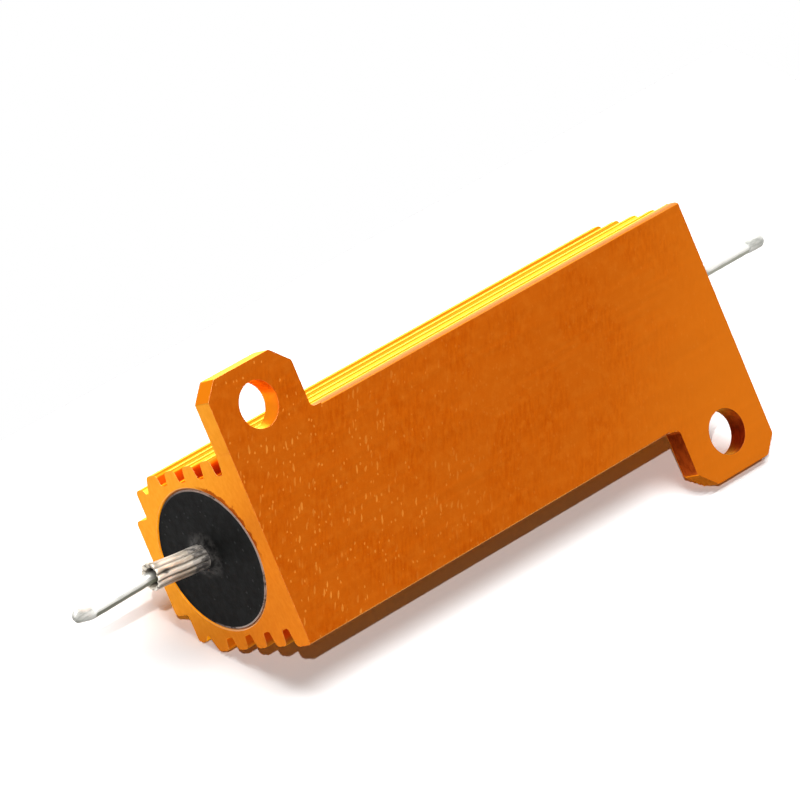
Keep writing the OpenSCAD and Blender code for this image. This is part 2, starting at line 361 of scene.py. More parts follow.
def finish(tree, **sockets):
    """Ends a material with one principled shader."""
    shader = put(tree, "ShaderNodeBsdfPrincipled", **sockets)
    put(tree, "ShaderNodeOutputMaterial", Surface=shader.outputs[0])


def radius_from_bore(tree, xyz):
    up = minus(tree, xyz[2], BORE_Z)
    return math_node(tree, "SQRT", plus(tree, times(tree, xyz[1], xyz[1]), times(tree, up, up)))


def highlight_towards_base(tree, xyz):
    """The painted highlight on the rim shows on the half of the bore that lies next to the base."""
    return ramp(tree, xyz[2], BORE_Z + 4 * MM, BORE_Z - 1 * MM)


def far_ear_shade(tree, xyz):
    """Painted shade inside the far ear's hole, on its inner wall and on the cut beside that wall."""
    dx, dy = minus(tree, xyz[0], HOLE_X), minus(tree, xyz[1], HOLE_Y)
    from_hole = math_node(tree, "SQRT", plus(tree, times(tree, dx, dx), times(tree, dy, dy)))
    in_hole = below(tree, from_hole, HOLE_R + 0.04 * MM)
    on_cut = times(tree, between(tree, xyz[1], EAR_OUT - 1.4 * MM, EAR_OUT - 0.02 * MM),
                   below(tree, xyz[0], EAR_WALL_X + 1.6 * MM))
    on_wall = either(tree, below(tree, xyz[0], EAR_WALL_X + 0.04 * MM), times(tree, on_cut, 0.85))
    on_wall = times(tree, on_wall, above(tree, xyz[1], PLATE_SIDE + 0.15 * MM),
                    above(tree, xyz[0], EAR_WALL_X - 0.1 * MM))
    return times(tree, either(tree, in_hole, on_wall), below(tree, xyz[2], PLATE_T - 0.05 * MM))


def fleck_mask(tree, turned, xyz, cloudy):
    """Short dented strokes on the base whose pale colour is a painted glint, large and crowded near the near
    end and small elsewhere.
    """
    near_end = ramp(tree, xyz[0], 4 * MM, -20 * MM)
    off_the_ear = ramp(tree, xyz[1], -11 * MM, -7 * MM)
    large = use_group(tree, FLECKS, Position=turned, **LARGE_FLECKS)
    small = use_group(tree, FLECKS, Position=turned, **SMALL_FLECKS)
    large = times(tree, large, near_end, ramp(tree, cloudy, 0.42, 0.6), off_the_ear)
    small = times(tree, small, plus(tree, 0.16, times(tree, near_end, 0.6)))
    return either(tree, large, small)


def side_colour(tree, xyz, side_reach, drawn, rubbed):
    """Drawn sides: streaks along them, painted shade in the grooves, under the fins on the +Y side and in
    and beside the far ear, painted highlights on the fins' lips and shoulder on the -Y side, and milled ear
    edges.
    """
    behind_plate = above(tree, xyz[2], PLATE_T - 0.1 * MM)
    side = two_tones(tree, drawn, 0.35, 0.7, SIDE_DEEP, SIDE_PALE)

    # painted shade: the groove walls are darkened, most near the plate
    in_groove = times(tree, ramp(tree, side_reach, FIN_TIP - 0.15 * MM, FIN_TIP - 0.75 * MM),
                      above(tree, side_reach, GROOVE_ROOT - 0.1 * MM), behind_plate,
                      below(tree, xyz[2], SHOULDER_Z))
    groove_shade = two_tones(tree, xyz[2], 4 * MM, 11 * MM, GROOVE_SHADE_LOW, GROOVE_SHADE_HIGH)
    side = tint(tree, side, groove_shade, in_groove)

    under = times(tree, below(tree, facing(tree)[2], -0.5), behind_plate)
    # painted shade on the down-facing faces near the +Y fin tips
    shaded = times(tree, under, ramp(tree, xyz[1], FIN_TIP - 0.9 * MM, FIN_TIP - 0.2 * MM))
    side = tint(tree, side, FIN_UNDERSIDE_SHADE, shaded, strength=0.8)
    # painted highlight: down-facing faces at the -Y fin tips and at the shoulder are pale yellow
    lip = times(tree, under, ramp(tree, xyz[1], 0.5 * MM - FIN_TIP, 0.25 * MM - FIN_TIP))
    shoulder = times(tree, under, above(tree, xyz[2], 11.5 * MM), below(tree, xyz[1], -5 * MM))
    side = tint(tree, side, FIN_LIP_GLINT, either(tree, lip, shoulder), strength=0.9)

    milled = times(tree, above(tree, side_reach, PLATE_SIDE + 0.15 * MM),
                   below(tree, xyz[2], PLATE_T + 0.1 * MM))
    side = tint(tree, side, MILLED, milled)
    # painted shade in the far ear's hole, on its inner wall and on the cut beside it
    painted_ear_shade = two_tones(tree, rubbed, 0.35, 0.65, EAR_SHADE_DEEP, EAR_SHADE_PALE)
    return tint(tree, side, painted_ear_shade, far_ear_shade(tree, xyz))


def base_colour(tree, place, xyz, rubbed, cloudy, flecks):
    """Rubbed mounting face: blotched and speckled, with painted light that brightens it towards the far ear,
    and painted glints on its dents.
    """
    base = two_tones(tree, rubbed, 0.32, 0.68, BASE_DEEP, BASE_PALE)
    base = tint(tree, base, BASE_CLOUD, ramp(tree, cloudy, 0.35, 0.65))
    blotch = ramp(tree, even_grain(tree, place, BLOTCHES), 0.45, 0.7)
    base = tint(tree, base, BASE_BLOTCH, blotch, strength=0.5)
    # painted light: the base is brighter towards the far ear
    painted_far_light = ramp(tree, plus(tree, xyz[0], times(tree, xyz[1], 0.8)), 6 * MM, 32 * MM)
    base = tint(tree, base, BASE_FAR_LIGHT, painted_far_light, strength=0.85)
    speckle = ramp(tree, even_grain(tree, place, SPECKLES), 0.55, 0.75)
    base = tint(tree, base, BASE_SPECKLE, speckle, strength=0.35)
    # painted glint: the dents are paler
    return tint(tree, base, BASE_FLECK_GLINT, flecks, strength=0.85)


def end_colour(tree, xyz, rubbed):
    """Sawn ends, with painted shade towards the corner of the base on the +Y side."""
    high = two_tones(tree, rubbed, 0.3, 0.7, SAWN_DEEP, SAWN_PALE)
    # painted shade, used towards the base's corner on the +Y side
    low = two_tones(tree, rubbed, 0.3, 0.7, SAWN_SHADE_DEEP, SAWN_SHADE_PALE)
    towards_base = minus(tree, times(tree, xyz[1], 0.6), times(tree, minus(tree, xyz[2], BORE_Z), 0.7))
    return two_tones(tree, towards_base, -5 * MM, 6 * MM, high, low)


def rim_colour(tree, colour, place, xyz, end_reach):
    """The bore's rim: chipped on its side next to the base, and a thin line of painted highlight around the
    potting.
    """
    radius = radius_from_bore(tree, xyz)
    at_end = above(tree, end_reach, HALF_LEN - 0.3 * MM)
    chip_side = plus(tree, times(tree, xyz[1], -0.55), times(tree, minus(tree, xyz[2], BORE_Z), -0.83))
    chip_side = ramp(tree, math_node(tree, "DIVIDE", chip_side, radius), 0.72, 0.9)
    ragged = times(tree, minus(tree, even_grain(tree, place, BLOTCHES), 0.44), 3.4)
    chips = plus(tree, ramp(tree, radius, BORE_R + 0.75 * MM, BORE_R + 0.2 * MM), ragged)
    chips = times(tree, ramp(tree, chips, 0.5, 0.8), at_end, chip_side,
                  ramp(tree, radius, BORE_R + 0.9 * MM, BORE_R + 0.6 * MM))
    # painted highlight on the rim, on the half of the bore next to the base
    bare = times(tree, at_end, below(tree, radius, BORE_R + 0.21 * MM), highlight_towards_base(tree, xyz))
    colour = tint(tree, colour, RIM_CHIP, chips, strength=0.85)
    return tint(tree, colour, RIM_HIGHLIGHT, bare, strength=0.75)


def anodised(name, worn=0.0):
    """Orange anodised aluminium. worn is how bare its broken edges are."""
    material, tree = new_material(name)
    place = place_on_part(tree)
    xyz = parts(tree, place)
    end_reach = math_node(tree, "ABSOLUTE", xyz[0])
    side_reach = math_node(tree, "ABSOLUTE", xyz[1])
    on_base = below(tree, xyz[2], SKIN)
    on_end = above(tree, end_reach, HALF_LEN - SKIN)

    drawn = use_group(tree, GRAIN, Position=place, **DRAWN)
    turned = put(tree, "ShaderNodeMapping", Vector=place, Rotation=(0, 0, RUB_TURN)).outputs[0]
    rubbed = use_group(tree, GRAIN, Position=turned, **RUBBED)
    cloudy = even_grain(tree, place, CLOUDS)
    flecks = times(tree, fleck_mask(tree, turned, xyz, cloudy), on_base)

    # the plate's flank: a pale painted sheen of a highlight, a little rougher, with its own specular tint
    plate_flank = times(tree, between(tree, side_reach, PLATE_SIDE, PLATE_SIDE + 0.2 * MM),
                        ramp(tree, xyz[2], 1.45 * MM, 0.95 * MM), minus(tree, 1.0, on_base))
    side = side_colour(tree, xyz, side_reach, drawn, rubbed)
    side = tint(tree, side, PLATE_FLANK_SHEEN, plate_flank, strength=0.75)
    colour = tint(tree, side, end_colour(tree, xyz, rubbed), on_end)
    colour = tint(tree, colour, base_colour(tree, place, xyz, rubbed, cloudy, flecks), on_base)
    colour = rim_colour(tree, colour, place, xyz, end_reach)
    if worn:
        colour = tint(tree, colour, EDGE_WORN, ramp(tree, cloudy, 0.3, 0.55), strength=worn)
        # painted shade on the broken edges along the base's +Y side
        shaded_edge = times(tree, above(tree, xyz[1], PLATE_SIDE - 0.2 * MM), below(tree, xyz[2], 0.2 * MM))
        colour = tint(tree, colour, EDGE_SHADE, shaded_edge, strength=0.8)

    rough = plus(tree, 0.30, times(tree, drawn, 0.16), times(tree, plate_flank, 0.12))
    height = plus(tree, times(tree, drawn, 0.6), times(tree, rubbed, 0.5), times(tree, flecks, -1.5))
    bump = put(tree, "ShaderNodeBump", Strength=0.35, Distance=0.02 * MM, Height=height)
    glance = mix_colour(tree, plate_flank, GLANCE_SIDE, GLANCE_PLATE)
    finish(tree, Base_Color=colour, Roughness=rough, Metallic=0.94, Specular_Tint=glance,
           Normal=bump.outputs[0])
    return material


def simple(name, deep, pale, size, roughness, metallic=0.0):
    """A finish whose colour wanders between two tones, with a fine matching relief."""
    material, tree = new_material(name)
    value = even_grain(tree, place_on_part(tree), size)
    colour = two_tones(tree, value, 0.32, 0.68, deep, pale)
    rough = plus(tree, roughness - 0.06, times(tree, value, 0.12))
    bump = put(tree, "ShaderNodeBump", Strength=0.5, Distance=0.02 * MM, Height=value)
    finish(tree, Base_Color=colour, Roughness=rough, Metallic=metallic, Normal=bump.outputs[0])
    return material


def potting_finish():
    """Black potting with pale dust in it, a grey smear where it climbs a sleeve, and a thin painted
    highlight along its rim.
    """
    material, tree = new_material("black_potting")
    place = place_on_part(tree)
    xyz = parts(tree, place)
    mottle = even_grain(tree, place, POTTING_MOTTLE)
    fine = even_grain(tree, place, POTTING_GRAIN)
    dust = use_group(tree, FLECKS, Position=place, **DUST)
    smear = put(tree, "ShaderNodeAttribute", {"attribute_name": "smear"}).outputs["Fac"]
    smear = times(tree, smear, ramp(tree, mottle, 0.34, 0.62))
    # painted highlight along the rim where the potting meets the bore
    rim = times(tree, ramp(tree, radius_from_bore(tree, xyz), BORE_R - 0.16 * MM, BORE_R - 0.06 * MM),
                ramp(tree, mottle, 0.3, 0.5), highlight_towards_base(tree, xyz))
    colour = two_tones(tree, mottle, 0.35, 0.7, POTTING_DEEP, POTTING_PALE)
    colour = tint(tree, colour, POTTING_DUST, dust, strength=0.25)
    colour = tint(tree, colour, POTTING_SMEAR, smear, strength=0.45)
    colour = tint(tree, colour, POTTING_RIM_HIGHLIGHT, rim, strength=0.8)
    rough = minus(tree, 0.62, times(tree, smear, 0.3))
    height = plus(tree, mottle, times(tree, fine, 0.4))
    bump = put(tree, "ShaderNodeBump", Strength=0.6, Distance=0.06 * MM, Height=height)
    finish(tree, Base_Color=colour, Roughness=rough, Normal=bump.outputs[0], Specular_IOR_Level=0.08)
    return material


def wire_finish():
    """Tinned wire, with painted shade along the side that faces +Y, a little rougher there, and darker where
    it leaves its sleeve.
    """
    material, tree = new_material("tinned_wire")
    place = place_on_part(tree)
    xyz = parts(tree, place)
    reach = math_node(tree, "ABSOLUTE", xyz[0])
    streak = use_group(tree, GRAIN, Position=place, **WIRE_STREAKS)
    tip_at = HALF_LEN + LEAD_OUT - TIP_LEN
    mouth_at = HALF_LEN + SLEEVE_OUT
    on_tip = ramp(tree, reach, tip_at - 0.1 * MM, tip_at + 0.1 * MM)
    at_mouth = ramp(tree, reach, mouth_at + 1.0 * MM, mouth_at + 0.2 * MM)
    # painted shade on the side of the wire that faces +Y
    shaded_side = plus(tree, facing(tree)[1], times(tree, minus(tree, streak, 0.5), 0.35))
    painted_wire_shade = times(tree, ramp(tree, shaded_side, 0.12, 0.42), minus(tree, 1.0, times(tree, on_tip, 0.75)))

    bright = two_tones(tree, streak, 0.3, 0.6, WIRE_DEEP, WIRE_PALE)
    bright = tint(tree, bright, two_tones(tree, streak, 0.35, 0.6, TIP_DEEP, TIP_PALE), on_tip)
    bright = tint(tree, bright, WIRE_AT_MOUTH, at_mouth, strength=0.75)
    wire_shade_tone = two_tones(tree, xyz[0], -10 * MM, 10 * MM, WIRE_SHADE_NEAR, WIRE_SHADE_FAR)
    colour = tint(tree, bright, wire_shade_tone, painted_wire_shade)
    rough = plus(tree, 0.26, times(tree, painted_wire_shade, 0.15))
    bump = put(tree, "ShaderNodeBump", Strength=0.4, Distance=0.02 * MM, Height=streak)
    finish(tree, Base_Color=colour, Roughness=rough, Metallic=minus(tree, 0.45, times(tree, on_tip, 0.15)),
           Normal=bump.outputs[0])
    return material


def sleeve_finish():
    """Dull tinned metal in bright strands, with painted shade between them, on its side that faces +Y, in
    its pinch and inside its mouth, and potting smeared over its root.
    """
    material, tree = new_material("dull_sleeve")
    place = place_on_part(tree)
    streak = use_group(tree, GRAIN, Position=place, **SLEEVE_STREAKS)
    blotch = use_group(tree, GRAIN, Position=place, **SLEEVE_BLOTCHES)
    valley, coated, pit_shade = (put(tree, "ShaderNodeAttribute", {"attribute_name": mark}).outputs["Fac"]
                           for mark in ("valley", "coated", "pit_shade"))
    # painted shade on the side of the sleeve that faces +Y
    shaded_side = ramp(tree, facing(tree)[1], 0.15, 0.7)
    torn = ramp(tree, plus(tree, coated, times(tree, minus(tree, blotch, 0.5), 1.6)), 0.35, 0.6)

    metal = two_tones(tree, streak, 0.32, 0.62, STRAND_DEEP, STRAND_PALE)
    # painted shade in the valleys between the strands
    metal = tint(tree, metal, STRAND_VALLEY_SHADE, valley, strength=0.85)
    metal = tint(tree, metal, SLEEVE_SHADE, shaded_side, strength=0.6)
    smear = two_tones(tree, blotch, 0.42, 0.66, SLEEVE_SMEAR_DEEP, SLEEVE_SMEAR_PALE)
    # painted shade, near black, in the pinch and inside the mouth
    colour = tint(tree, tint(tree, metal, smear, torn), SLEEVE_PIT_SHADE, pit_shade)
    dark = either(tree, torn, valley, pit_shade)
    rough = plus(tree, 0.32, times(tree, torn, 0.25))
    bump = put(tree, "ShaderNodeBump", Strength=0.5, Distance=0.03 * MM, Height=blotch)
    finish(tree, Base_Color=colour, Roughness=rough, Metallic=times(tree, minus(tree, 1.0, dark), 0.55),
           Normal=bump.outputs[0])
    return material


# The base is rubbed and flecked, the ends are sawn, and the sides are drawn, with streaks along them
ANODISED = anodised("orange_anodised")
ANODISED_EDGE = anodised("orange_anodised_edge", worn=0.3)
POTTING = potting_finish()
TINNED = wire_finish()
SLEEVE = sleeve_finish()
WOUND = simple("resistance_wire", srgb(150, 144, 136), srgb(176, 170, 162), size=3000, roughness=0.35,
               metallic=0.9)
CAP = simple("pressed_cap", srgb(166, 166, 168), srgb(190, 190, 192), size=900, roughness=0.35, metallic=0.9)
FILLER = simple("moulded_filler", srgb(166, 160, 150), srgb(184, 178, 168), size=700, roughness=0.8)
CERAMIC = simple("ceramic_rod", srgb(226, 218, 200), srgb(238, 232, 218), size=500, roughness=0.7)

# The pieces inside the bore keep the solid model's meshes
KEPT_MESHES = {"filler": FILLER, "ceramic_core": CERAMIC, "left_cap": CAP, "right_cap": CAP}
for node, material in KEPT_MESHES.items():
    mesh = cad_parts[node].data
    mesh.materials.clear()
    mesh.materials.append(material)


# ---- pieces --------------------------------------------------------------------

def add_piece(name, mesh, material, slot, *nodes):
    """A finished piece at the origin, which stands for the named nodes of the solid model."""
    if not mesh.materials:
        mesh.materials.append(material)
    piece = add_object(name, mesh)
    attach(piece, "root")
    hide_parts(*nodes)
    return piece


def ring_faces(rings, around):
    """Quads between rings of equally many points. The last ring joins the first."""
    faces = []
    for i in range(rings):
        j = (i + 1) % rings
        for s in range(around):
            t = (s + 1) % around
            faces.append((i * around + s, i * around + t, j * around + t, j * around + s))
    return faces


def closed_mesh(name, points, around, weld=None, sharp=50):
    """Closed mesh through rings of points, whose faces all point outwards. weld joins points that near."""
    mesh = bpy.data.meshes.new(name)
    mesh.from_pydata([tuple(p) for p in points], [], ring_faces(len(points) // around, around))
    work = bmesh.new()
    work.from_mesh(mesh)
    if weld:
        bmesh.ops.remove_doubles(work, verts=work.verts, dist=weld)
    bmesh.ops.recalc_face_normals(work, faces=work.faces)
    work.to_mesh(mesh)
    work.free()
    shade_round(mesh, sharp)
    return mesh


def shade_round(mesh, sharp):
    """Smooth shading, broken at edges that turn more than sharp degrees."""
    mesh.shade_smooth()
    mesh.set_sharp_from_angle(angle=math.radians(sharp))


def mark_points(mesh, label, values):
    mesh.attributes.new(label, "FLOAT", "POINT").data.foreach_set("value", values)


def bake(holder):
    """Turns a holder with its modifiers into a plain mesh, and takes the holder away."""
    bpy.context.view_layer.update()
    graph = bpy.context.evaluated_depsgraph_get()
    mesh = bpy.data.meshes.new_from_object(holder.evaluated_get(graph))
    holder.modifiers.clear()
    bpy.data.objects.remove(holder)
    return mesh


def housing_shell():
    """The housing with its sharp edges broken, and its broken edges a little worn."""
    weld, flat_angle = 0.002 * MM, math.radians(0.6)
    edge_width, edge_angle, edge_segments = 0.07 * MM, math.radians(40), 2
    large_face_weight = 90
    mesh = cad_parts["housing"].data.copy()
    work = bmesh.new()
    work.from_mesh(mesh)
    bmesh.ops.remove_doubles(work, verts=work.verts, dist=weld)
    bmesh.ops.dissolve_limit(work, angle_limit=flat_angle, verts=work.verts, edges=work.edges)
    for face in work.faces:
        face.smooth = True
        face.material_index = 0
    work.to_mesh(mesh)
    work.free()
    mesh.materials.clear()
    for material in (ANODISED, ANODISED_EDGE):
        mesh.materials.append(material)
    holder = add_object("holder", mesh)
    edge = holder.modifiers.new("edge", "BEVEL")
    edge.limit_method = "ANGLE"
    edge.angle_limit = edge_angle
    edge.width = edge_width
    edge.segments = edge_segments
    # the broken edges take the second material
    edge.material = 1
    level = holder.modifiers.new("level", "WEIGHTED_NORMAL")
    level.weight = large_face_weight
    finished = bake(holder)
    finished.name = "housing_shell"
    add_piece("housing_shell", finished, ANODISED, "anodised", "housing")


# ---- ends: where each terminal starts and how it points --------------------------

class Terminal:
    """One end's sleeve and lead. Angles come in degrees.

    lean turns the sleeve away from the X axis, bend turns the wire on past the mouth, towards the side
    that roll picks, and tip_bend turns the pressed tip back.
    """

    def __init__(self, side, sign, root_y, root_z, lean, bend, roll, tip_bend):
        lean, roll = math.radians(lean), math.radians(roll)
        self.side, self.sign = side, sign
        self.bend, self.tip_bend = math.radians(bend), math.radians(tip_bend)
        self.root = Vector((sign * SEAL_BACK, root_y, BORE_Z + root_z))
        self.axis = Vector((sign * math.cos(lean), math.sin(lean), 0))
        across = Vector((-sign * math.sin(lean), math.cos(lean), 0))
        self.towards = Vector((0, 0, 1)) * math.cos(roll) + across * math.sin(roll)
        self.length = (HALF_LEN + SLEEVE_OUT - SEAL_BACK) / math.cos(lean)
        self.mouth = self.root + self.axis * self.length

    def heading(self, angle):
        return self.axis * math.cos(angle) + self.towards * math.sin(angle)

    def wire_path(self):
        """Points along the lead, from inside the seal to the end of its pressed tip."""
        in_sleeve, in_bend, in_free, in_tip = 12, 6, 10, 8

        def straight(start, heading, length, steps):
            return [start + heading * length * i / steps for i in range(1, steps + 1)]

        points = [self.root] + straight(self.root, self.axis, self.length, in_sleeve)
        for i in range(1, in_bend + 1):
            a = self.bend * i / in_bend
            points.append(self.mouth + self.axis * BEND_R * math.sin(a) +
                          self.towards * BEND_R * (1 - math.cos(a)))
        free = LEAD_OUT - SLEEVE_OUT - BEND_R * math.sin(self.bend) - TIP_LEN
        points += straight(points[-1], self.heading(self.bend), free, in_free)
        points += straight(points[-1], self.heading(self.bend - self.tip_bend), TIP_LEN, in_tip)
        return points


TERMINALS = (
    Terminal("left", -1, root_y=0.0, root_z=0.6 * MM, lean=-6, bend=12, roll=48, tip_bend=22),
    Terminal("right", 1, root_y=-0.4 * MM, root_z=0.0, lean=0, bend=0, roll=0, tip_bend=0),
)


# ---- black potting ---------------------------------------------------------------

def potting_plug(t):
    """The potting at one end: a disc that wets the bore's wall and climbs the sleeve a little."""
    around, across = 120, 34
    centre = t.root + t.axis * ((SEAL_FACE - SEAL_BACK) / abs(t.axis.x))
    off_y, off_z = centre.y, centre.z - BORE_Z
    points, smear = [], []
    for i in range(across + 1):
        part = i / across
        for s in range(around):
            a = 2 * math.pi * s / around
            dy, dz = math.cos(a), math.sin(a)
            # how far the bore's wall lies from the sleeve's middle in this direction
            half_b = off_y * dy + off_z * dz
            reach = -half_b + math.sqrt(half_b * half_b - (off_y * off_y + off_z * off_z - BORE_R * BORE_R))
            d = SLEEVE_R * (1 - part) + reach * part
            y, z = centre.y + d * dy, centre.z + d * dz
            from_sleeve, from_rim = d - SLEEVE_R, reach - d
            wobble = noise.noise(Vector((y, z, t.sign)) * 900) * 0.5 + 0.5
            lumps = noise.noise(Vector((y, z, 3 + t.sign)) * 1700) * 0.018 * MM
            climb = (0.32 + 0.30 * wobble) * MM * math.exp(-from_sleeve / (0.34 * MM))
            wet = 0.07 * MM * math.exp(-from_rim / (0.22 * MM))
            points.append((t.sign * (SEAL_FACE + climb + wet + lumps), y, z))
            smear_reach = (0.6 + 0.9 * wobble) * MM
            smear.append(min(1.0, max(0.0, 1 - from_sleeve / smear_reach) * 1.4))
    # the back of the plug: its rim, and then the ring next to the sleeve
    for ring in (points[-around:], points[:around]):
        points += [(t.sign * SEAL_BACK, y, z) for _, y, z in ring]
        smear += [0.0] * around
    mesh = closed_mesh(t.side + "_potting", points, around)
    mark_points(mesh, "smear", smear)
    add_piece(t.side + "_potting", mesh, POTTING, "potting", t.side + "_seal")


# ---- crimped sleeves ---------------------------------------------------------------

def clamp(value):
    return max(0.0, min(1.0, value))


def sleeve(t):
    """A tube crimped on the wire: shallow flutes, one pinch, and an uneven open mouth."""
    around, steps, strands = 132, 46, 11
    front = (BACK - t.axis * BACK.dot(t.axis)).normalized()
    across = t.axis.cross(front)
    lip_at = math.atan2(UP.dot(across), UP.dot(front))
    face_at = t.length - (SLEEVE_OUT + HALF_LEN - SEAL_FACE) / abs(t.axis.x)

    def out_of_potting(s):
        return clamp((s - face_at) / (0.5 * MM))

    def valley(s, a):
        wander = 0.5 * math.sin(s * 700) + 0.4 * math.sin(s * 1900 + 1.0)
        return out_of_potting(s) * (0.5 + 0.5 * math.cos(strands * a + wander)) ** 3

    def pinch(s, a):
        along = (s - t.length + 0.9 * MM) / (0.3 * MM)
        round_it = math.remainder(a, 2 * math.pi) * SLEEVE_R / (0.22 * MM)
        return math.exp(-along * along - round_it * round_it)

    def outer(s, a):
        uneven = noise.noise(Vector((math.cos(a), math.sin(a), s * 420 + t.sign)) * 1.3)
        dents = 0.14 * valley(s, a) + out_of_potting(s) * 0.035 * (0.5 + uneven) + 0.12 * pinch(s, a)
        lip = math.exp(-((t.length - s) / (0.4 * MM)) ** 2)
        return SLEEVE_R - dents * MM + lip * (0.02 + 0.17 * max(0.0, math.cos(a - lip_at)) ** 2) * MM

    def mouth_edge(s, a):
        return s + 0.10 * MM * noise.noise(Vector((math.cos(a), math.sin(a), 7 + t.sign)) * 1.6)

    points = []

    def ring(along, radius):
        """One ring of points, from two functions of the angle."""
        for k in range(around):
            a = 2 * math.pi * k / around
            spread = front * math.cos(a) + across * math.sin(a)
            points.append(t.root + t.axis * along(a) + spread * radius(a))

    out_steps = [face_at + (t.length - face_at) * i / steps for i in range(1, steps + 1)]
    for s in [0.0, face_at * 0.5, face_at] + out_steps:
        ring(lambda a: s, lambda a: outer(s, a))
    lip_r = 0.07 * MM
    for over, drop in ((0.7, 0.35), (1.0, 1.1), (0.7, 1.9)):
        ring(lambda a: mouth_edge(t.length + lip_r * over, a), lambda a: outer(t.length, a) - lip_r * drop)
    for s, r in ((t.length - 0.1 * MM, MOUTH_R), (t.length - 0.6 * MM, MOUTH_R * 0.97),
                 (t.length - MOUTH_DEPTH, MOUTH_R * 0.93), (t.length - MOUTH_DEPTH - 0.15 * MM, WIRE_R),
                 (0.0, WIRE_R)):
        ring(lambda a: s, lambda a: r)

    mesh = closed_mesh(t.side + "_sleeve", points, around, weld=0.0001 * MM, sharp=48)
    marks = {"valley": [], "pit_shade": [], "coated": []}
    for vertex in mesh.vertices:
        away = vertex.co - t.root
        s = away.dot(t.axis)
        spread = away - t.axis * s
        a = math.atan2(spread.dot(across), spread.dot(front))
        outside = spread.length > (SLEEVE_R + MOUTH_R) / 2
        in_mouth = 0.9 if s < t.length - 0.15 * MM else 0.0
        marks["valley"].append(valley(s, a) if outside else 0.0)
        # painted shade: the pinch's dimple and the inside of the mouth
        marks["pit_shade"].append(min(1.0, 1.3 * pinch(s, a)) if outside else in_mouth)
        marks["coated"].append(clamp(2.1 - (s - face_at) / (1.2 * MM)) if outside else 0.0)
    for label, values in marks.items():
        mark_points(mesh, label, values)
    add_piece(t.side + "_sleeve", mesh, SLEEVE, "sleeve", t.side + "_terminal")


# ---- wires that follow a path --------------------------------------------------------

def sweep(tree, curve, radius, sides):
    """A round wire along a curve, closed at both ends."""
    ring = put(tree, "GeometryNodeCurvePrimitiveCircle", Radius=radius, Resolution=sides)
    return put(tree, "GeometryNodeCurveToMesh", Curve=curve, Profile_Curve=ring.outputs["Curve"],
               Fill_Caps=True).outputs[0]


def end_tree(tree, shape, given, result):
    """Makes the shape real, gives it its material, and hands it over."""
    real = put(tree, "GeometryNodeRealizeInstances", Geometry=shape)
    coated = put(tree, "GeometryNodeSetMaterial", Geometry=real.outputs[0], Material=given["Material"])
    feed(tree, result, coated.outputs[0])


def pressed_wire_tree():
    """Sweeps a round wire along a path and presses its last stretch flat, with a rounded end."""
    rings, sides, dent_size = 150, 28, 1500.0
    tree, given, result = new_group(
        "pressed_wire", "GeometryNodeTree",
        [("Geometry", GEOMETRY), ("Wire Radius", FLOAT), ("Tip Length", FLOAT), ("Tip Width", FLOAT),
         ("Tip Thickness", FLOAT), ("Press Axis", VECTOR), ("Dents", FLOAT), ("Seed", FLOAT),
         ("Material", MATERIAL)],
        ("Geometry", GEOMETRY))

    # sweep the wire, and keep each point's centre and its distance from the wire's end
    path = put(tree, "GeometryNodeMeshToCurve", Mesh=given["Geometry"])
    finer = put(tree, "GeometryNodeResampleCurve", Curve=path.outputs[0], Count=rings)
    place = put(tree, "GeometryNodeInputPosition").outputs[0]
    along = put(tree, "GeometryNodeSplineParameter").outputs["Length"]
    total = put(tree, "GeometryNodeSplineLength").outputs["Length"]
    capture = put(tree, "GeometryNodeCaptureAttribute")
    capture.capture_items.new("VECTOR", "Centre")
    capture.capture_items.new("FLOAT", "Left")
    feed(tree, capture.inputs["Geometry"], finer.outputs[0])
    feed(tree, capture.inputs["Centre"], place)
    feed(tree, capture.inputs["Left"], minus(tree, total, along))
    swept = sweep(tree, capture.outputs["Geometry"], given["Wire Radius"], sides)
    centre, left = capture.outputs["Centre"], capture.outputs["Left"]

    # part each point's offset into its height along the press and the rest
    offset = vector_math(tree, "SUBTRACT", place, centre)
    height = vector_math(tree, "DOT_PRODUCT", offset, given["Press Axis"])
    raised = vector_math(tree, "SCALE", given["Press Axis"], height)
    sideways = vector_math(tree, "SUBTRACT", offset, raised)

    # press the tip thin and wide, and round off its end
    tip_length = given["Tip Length"]
    pressed = ramp(tree, left, times(tree, tip_length, 1.08), times(tree, tip_length, 0.78))
    diameter = times(tree, given["Wire Radius"], 2.0)

    def scale_to(size):
        change = minus(tree, math_node(tree, "DIVIDE", size, diameter), 1.0)
        return plus(tree, 1.0, times(tree, pressed, change))

    past = minus(tree, 1.0, math_node(tree, "DIVIDE", left, times(tree, given["Tip Width"], 0.5)))
    past = either(tree, past, 0.0)
    round_off = math_node(tree, "SQRT", either(tree, 0.02, minus(tree, 1.0, times(tree, past, past))))
    thin = times(tree, scale_to(given["Tip Thickness"]), math_node(tree, "POWER", round_off, 0.4))
    wide = times(tree, scale_to(given["Tip Width"]), round_off)
    moved = vector_math(tree, "ADD", vector_math(tree, "SCALE", raised, thin),
                        vector_math(tree, "SCALE", sideways, wide))

    # dent the wire a little
    seed = put(tree, "ShaderNodeCombineXYZ", X=given["Seed"]).outputs[0]
    dent = put(tree, "ShaderNodeTexNoise", Vector=vector_math(tree, "ADD", place, seed), Scale=dent_size,
               Detail=2.0).outputs["Fac"]
    dent = plus(tree, 1.0, times(tree, given["Dents"], minus(tree, dent, 0.5)))
    final = vector_math(tree, "ADD", centre, vector_math(tree, "SCALE", moved, dent))
    placed = put(tree, "GeometryNodeSetPosition", Geometry=swept, Position=final)
    end_tree(tree, placed.outputs[0], given, result)
    return tree


